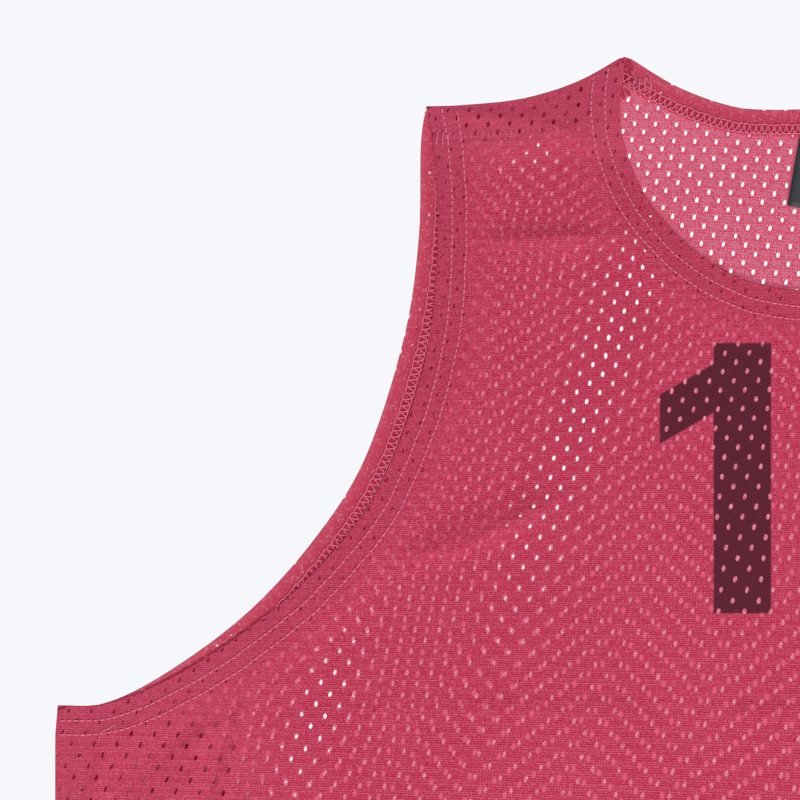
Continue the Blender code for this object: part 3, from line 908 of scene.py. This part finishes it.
class Knit:
    """Warp-knitted polyester net: what the cloth of both panels starts from."""

    def __init__(self, name):
        self.material, self.tree = new_material(name)
        place, (self.x, self.y, _) = position(self.tree)
        self.own, self.other = Layer(self.tree, "mesh_numbers"), Layer(self.tree, "other_layer")
        courses = place.node("ShaderNodeMapping", None, {"Vector": place, "Scale": (0.3, 1.0, 1.0)})
        self.lines = noise(courses, YARN_SCALE, 1.0, 0.7)
        self.grain = noise(place, YARN_SCALE, 1.0, 0.6)
        self.patches = noise(place, 24.0, 3.0)
        self.mottle = noise(place, 900.0)
        self.in_hem = self.own.past_edge.ramp(-FRONT_HEM - 2.0, -FRONT_HEM + 0.5)
        self.flat_part = self.own.past_edge.ramp(0.0, -0.5)
        self.off_underarm = self.oval(*UNDERARM_SHADE).ramp(0.35, 1.3)
        self.colour = self.yarn_colour()

    def oval(self, out, y, half_width, half_height):
        """0 in the middle of an oval on each half of the bib, 1 on its rim and more outside it."""
        return ((self.x.abs() - out) / half_width) ** 2.0 + ((self.y - y) / half_height) ** 2.0

    def yarn_colour(self):
        """Deep between the yarns and light on them, with painted light in hems, at the neck and at the sides.
        """
        ribs = (self.own.down * (2 * math.pi * RIBS)).sin()
        tone = (self.lines - 0.5) * (2.3 - self.in_hem * 0.8) + (self.grain - 0.5) * 2.9
        tone = tone + ribs * 0.4 + (self.patches - 0.5) * 0.3 + 0.54
        colour = mixed(tone.ramp(-0.4, 0.6), CLOTH_DEEP, CLOTH_RED)
        colour = mixed(tone.ramp(0.5, 1.4), colour, CLOTH_LIGHT)
        # Painted light: a lighter colour in hems, at the neck and at the sides.
        painted_light = self.in_hem * 0.10 + self.y.ramp(305.0, 325.0) * 0.17
        painted_light = painted_light + self.x.abs().ramp(190.0, 250.0) * 0.12
        return mixed(painted_light, colour, CLOTH_LIGHT)

    def eyelets(self):
        """The small gaps in the yarns, in a strip between two rows of holes."""
        wales = ((self.own.along + self.own.down * ROW_LEAN) * (2 * math.pi * WALES)).sin()
        strip = (self.own.row.abs() - 0.34).abs().ramp(0.12, 0.05)
        return wales.ramp(-0.1, 0.7) * strip * self.mottle.ramp(0.40, 0.52)

    def tint(self, share, colour):
        self.colour = mixed(share, self.colour, colour)

    def finish(self, through):
        inputs = {
            "Base Color": self.colour,
            "Roughness": (self.grain - 0.5) * 0.25 + 0.66,
            "Specular IOR Level": 0.10,
            "Sheen Weight": 0.02,
            "Sheen Roughness": 0.5,
            "Normal": bump(self.lines + self.grain + self.own.from_hole.ramp(1.0, 1.5) * 0.6, 0.15, 0.0002),
        }
        finish_material(self.tree, inputs, through)
        return self.material


def dots_by_hole(own):
    """Painted light through a short line of tiny gaps on one side of each hole."""
    right = (own.hole + own.row * ROW_LEAN) * KNIT_HOLES_APART
    up = (own.row + 0.41) * -KNIT_ROWS_APART
    light_dots = (right * (2 * math.pi / DOTS_APART)).cos().ramp(0.0, 0.6)
    return light_dots * right.abs().ramp(1.7, 1.3) * (up + right.abs() * 0.3).abs().ramp(0.6, 0.3)


def back_mesh():
    """The back's cloth and that of the seams. A single layer is sheer in bars between the holes of a row,
    where the light coming through is painted as a greyer tint.
    """
    knit = Knit("bib mesh")
    own, other, grain, mottle, flat_part = knit.own, knit.other, knit.grain, knit.mottle, knit.flat_part
    # The sheer bars are real; their greyer, lighter tint is painted light from the floor coming through them.
    bars = own.row.abs().ramp(0.24, 0.13) * own.hole.abs().ramp(0.15, 0.28) * flat_part
    bars = bars * (grain.ramp(0.38, 0.58) * 0.7 + 0.2) * knit.patches.ramp(0.3, 0.5, 0.5, 1.0)
    knit.tint(bars, CLOTH_SHEER_LIT)
    # Painted light in the small gaps in the yarns.
    knit.tint(knit.eyelets() * flat_part * 0.8, CLOTH_GAP_LIGHT)
    # Painted light in dots on one side of each hole.
    knit.tint(dots_by_hole(own) * flat_part, CLOTH_GAP_LIGHT)
    # Painted shade round the rim of each hole.
    knit.tint(own.from_hole.ramp(1.7, 1.3) * 0.7, CLOTH_RIM_SHADE)
    # The turned-up hem: painted shade under the ladder, and painted light and glints outside it.
    shade_under_ladder = own.past_edge.ramp(LADDER_OUTER + 0.1, LADDER_OUTER + 0.6)
    shade_under_ladder = shade_under_ladder * own.past_edge.ramp(LADDER_INNER + 0.8, LADDER_INNER + 0.1)
    knit.tint(shade_under_ladder * 0.3, CLOTH_DEEP)
    # Painted light on the strip outside the ladder, strongest at the fold.
    outermost = own.past_edge.ramp(-0.3, 0.5) * own.past_edge.ramp(LADDER_OUTER + 0.6, LADDER_OUTER)
    knit.tint(outermost * own.past_edge.ramp(0.0, 6.0, 0.80, 0.34), CLOTH_LIGHT)
    # Painted light on the back just beside the front's edge, where that edge casts a shadow.
    light_beside_front = other.past_edge.ramp(2.4, 1.2) * other.past_edge.ramp(-0.9, -0.2)
    knit.tint(light_beside_front * own.past_edge.ramp(-30.0, -22.0) * 0.5, CLOTH_LIGHT)
    # Painted shade in the pocket under the corner of the neck.
    knit.tint(knit.oval(*NECK_POCKET_SHADE).ramp(1.3, 0.5) * 0.75, CLOTH_SHADE)
    # Painted glints flecked along the outer strip.
    edge_glints = outermost * (mottle.ramp(0.56, 0.64) + own.past_edge.ramp(2.6, 0.6) * 0.5).least(1.0)
    knit.tint(edge_glints * grain.ramp(0.5, 0.6) * 0.75, CLOTH_CAUGHT_LIGHT)
    # Under the front's holes, shade is painted at the underarm, more in some holes than in others, and
    # elsewhere the light that falls through them is painted.
    shade_in_holes = other.from_hole.ramp(1.9, 1.5) * (1.0 - knit.off_underarm) * other.past_edge.ramp(0.0, -1.0)
    chance = ((other.along.whole() * 1.93 + other.down.whole() * 4.27).sin() * 41.7).fraction()
    knit.tint(shade_in_holes * chance.ramp(0.1, 0.8, 0.25, 1.0), CLOTH_SHADE)
    # Painted light under the front's holes, away from the underarm.
    caught_light = other.from_hole.ramp(1.3, 0.8) * other.past_edge.ramp(0.0, -6.0) * flat_part
    knit.tint(caught_light * knit.off_underarm * grain.ramp(0.42, 0.58, 0.0, 0.85), CLOTH_CAUGHT_LIGHT)
    return knit.finish(0.42 - shade_in_holes * 0.4)


def front_mesh():
    """The front's cloth, with the number printed on it. Light through the holes of the back is painted on it
    in lighter ovals.
    """
    knit = Knit("bib mesh with number")
    # Painted light in the small gaps in the yarns, less in hems.
    knit.tint(knit.eyelets() * (0.16 - knit.in_hem * 0.08), CLOTH_GAP_LIGHT)
    # Painted light where the back's holes lie under the front.
    light_over_back_hole = knit.other.from_hole.ramp(1.15, 0.7) * knit.own.past_edge.ramp(-FRONT_HEM, -FRONT_HEM - 1.0)
    knit.tint(light_over_back_hole * knit.off_underarm * knit.grain.ramp(0.38, 0.58, 0.35, 1.0), CLOTH_LIT)
    ink = squad_number(knit.x, knit.y)
    knit.tint(ink * knit.grain.ramp(0.28, 0.42, 0.85, 1.0), PRINT_INK)
    return knit.finish(0.16 - ink * 0.14)


def thread_material(name, colour):
    """Textured polyester thread, lighter than the cloth."""
    made, tree = new_material(name)
    place, _ = position(tree)
    fuzz = noise(place, 2600.0, 3.0)
    deep = tuple(0.6 * part for part in colour[:3]) + (1.0,)
    inputs = {
        "Base Color": mixed(fuzz.ramp(0.3, 0.65), deep, colour),
        "Roughness": (fuzz - 0.5) * 0.2 + 0.5,
        "Specular IOR Level": 0.25,
        "Sheen Weight": 0.05,
        "Normal": bump(fuzz, 0.4, 0.0001),
    }
    finish_material(tree, inputs)
    return made


def label_material(name):
    """Black woven satin."""
    made, tree = new_material(name)
    place, (x, y, _) = position(tree)
    weave = (x * (2 * math.pi / 0.35)).sin() * 0.5 + (y * (2 * math.pi / 0.28)).sin() * 0.5
    fuzz = noise(place, 900.0, 2.0)
    light = tuple(2.2 * part for part in LABEL_BLACK[:3]) + (1.0,)
    inputs = {
        "Base Color": mixed((weave * 0.3 + fuzz).ramp(0.2, 0.9), LABEL_BLACK, light),
        "Roughness": fuzz * 0.2 + 0.45,
        "Normal": bump(weave + fuzz, 0.3, 0.0001),
    }
    finish_material(tree, inputs)
    return made


def floor_material():
    made, tree = new_material("pale floor")
    glow = add_node(tree, "ShaderNodeEmission", None, {"Color": FLOOR_PALE, "Strength": 1.0})
    add_node(tree, "ShaderNodeOutputMaterial", None, {"Surface": glow})
    return made


# ---------------------------------------------------------------- camera, light and floor


def set_up_camera():
    """Straight above the garment, with the photograph's frame."""
    camera = bpy.data.cameras.new("Camera")
    camera.lens = LENS
    camera.sensor_width = SENSOR
    camera.clip_end = 50.0
    held = bpy.data.objects.new("Camera", camera)
    held.location = (VIEW_CENTRE[0] * MM, VIEW_CENTRE[1] * MM, VIEW_WIDTH * LENS / SENSOR * MM)
    bpy.context.scene.collection.objects.link(held)
    bpy.context.scene.camera = held


def add_light(name, power, size, place):
    """A square lamp that points at the middle of the bib."""
    light = bpy.data.lights.new(name, "AREA")
    light.energy = power
    light.size = size
    held = bpy.data.objects.new(name, light)
    held.location = place
    x, y, z = place
    held.rotation_euler = (math.acos(z / math.hypot(x, y, z)), 0.0, math.atan2(-y, -x) - math.pi / 2)
    bpy.context.scene.collection.objects.link(held)


def set_up_studio():
    scene = bpy.context.scene
    scene.view_settings.view_transform = "Standard"
    world = bpy.data.worlds.new("studio")
    world.use_nodes = True
    sky = world.node_tree.nodes["Background"]
    sky.inputs["Color"].default_value = FLOOR_PALE
    sky.inputs["Strength"].default_value = SKY_STRENGTH
    scene.world = world
    add_light("key light", power=54.0, size=1.0, place=KEY_LIGHT_PLACE)
    mesh = bpy.data.meshes.new("floor")
    half = FLOOR_HALF
    corners = [(-half, -half, 0.0), (half, -half, 0.0), (half, half, 0.0), (-half, half, 0.0)]
    mesh.from_pydata(corners, [], [(0, 1, 2, 3)])
    mesh.materials.append(floor_material())
    floor = bpy.data.objects.new("floor", mesh)
    scene.collection.objects.link(floor)


def add_seam(name, width, front, back, nets, cloth, thread):
    """A seam's two allowances, pressed down on the back, and the overlock thread round their edges."""
    ends = BACK_HEM + 1.5  # clear of the hems at both ends
    allowances = [
        turned_strip(front, nets[0], name, width, SEAM_LEVEL + ALLOWANCE_GAP, ends),
        turned_strip(back, nets[1], name, width, SEAM_LEVEL - ALLOWANCE_GAP, ends),
    ]
    places, flat, faces = joined(allowances)
    kind, side = name.split("_")
    piece = add_piece(f"{kind}_allowance_{side}", places, faces, cloth)
    note_mesh_numbers(piece, flat, front, back)
    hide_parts(f"{kind}_seam_{side}")
    wound = [overlock_line(back, name, width)]
    return [piece, add_threads(f"{name}_overlock", wound, LOOPER_RADIUS, thread, 4)]


def main():
    set_up_camera()
    set_up_studio()
    plain_cloth, printed_cloth = back_mesh(), front_mesh()
    thread = thread_material("pink thread", THREAD_PINK)
    front, back = Front(FRONT_ARMHOLE, FRONT_NECK), Back(BACK_ARMHOLE, BACK_NECK)
    nets = open_mesh(front, FRONT_SEED), open_mesh(back, BACK_SEED)
    front_sheet = add_sheet("front_cloth", front, back, nets[0], printed_cloth)
    back_sheet = add_sheet("back_cloth", back, front, nets[1], plain_cloth)
    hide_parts("front_panel")
    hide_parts("back_panel")
    label = add_label(label_material("black woven label"))
    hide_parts("neck_label")
    on_front, on_back = [], [label]
    for side in ("right", "left"):
        for kind, width in (("shoulder", SHOULDER_ALLOWANCE), ("side", ALLOWANCE)):
            on_back += add_seam(f"{kind}_{side}", width, front, back, nets, plain_cloth, thread)
    for name, outer, inner, pitch in HEM_ROWS:
        lines = [needle_line(front, name, inset, pitch) for inset in (outer, inner)]
        on_front.append(add_threads(f"{name}_stitches", lines, STITCH_RADIUS, thread))
        on_back.append(add_threads(f"{name}_ladder", ladder_lines(back, name, pitch), LOOPER_RADIUS, thread))
        lines = [needle_line(back, name, inset, pitch, 6, below=True) for inset in BACK_ROWS]
        on_back.append(add_threads(f"back_{name}_stitches", lines, FINE_RADIUS, thread, 4))
    for panel, kept, below in ((front, on_front, False), (back, on_back, True)):
        lines = [needle_line(panel, "bottom", inset, BOTTOM_PITCH, 6, below=below) for inset in BOTTOM_ROWS]
        name = "back_bottom_stitches" if below else "bottom_stitches"
        kept.append(add_threads(name, lines, BOTTOM_STITCH_RADIUS, thread, 4))
    tail = smooth_curve(THREAD_TAIL, 0.5)
    tail = np.column_stack([tail, front.height(tail) + TAIL_PROUD])
    on_front.append(add_threads("thread_tail", [tail], FINE_RADIUS, thread, 6))


main()
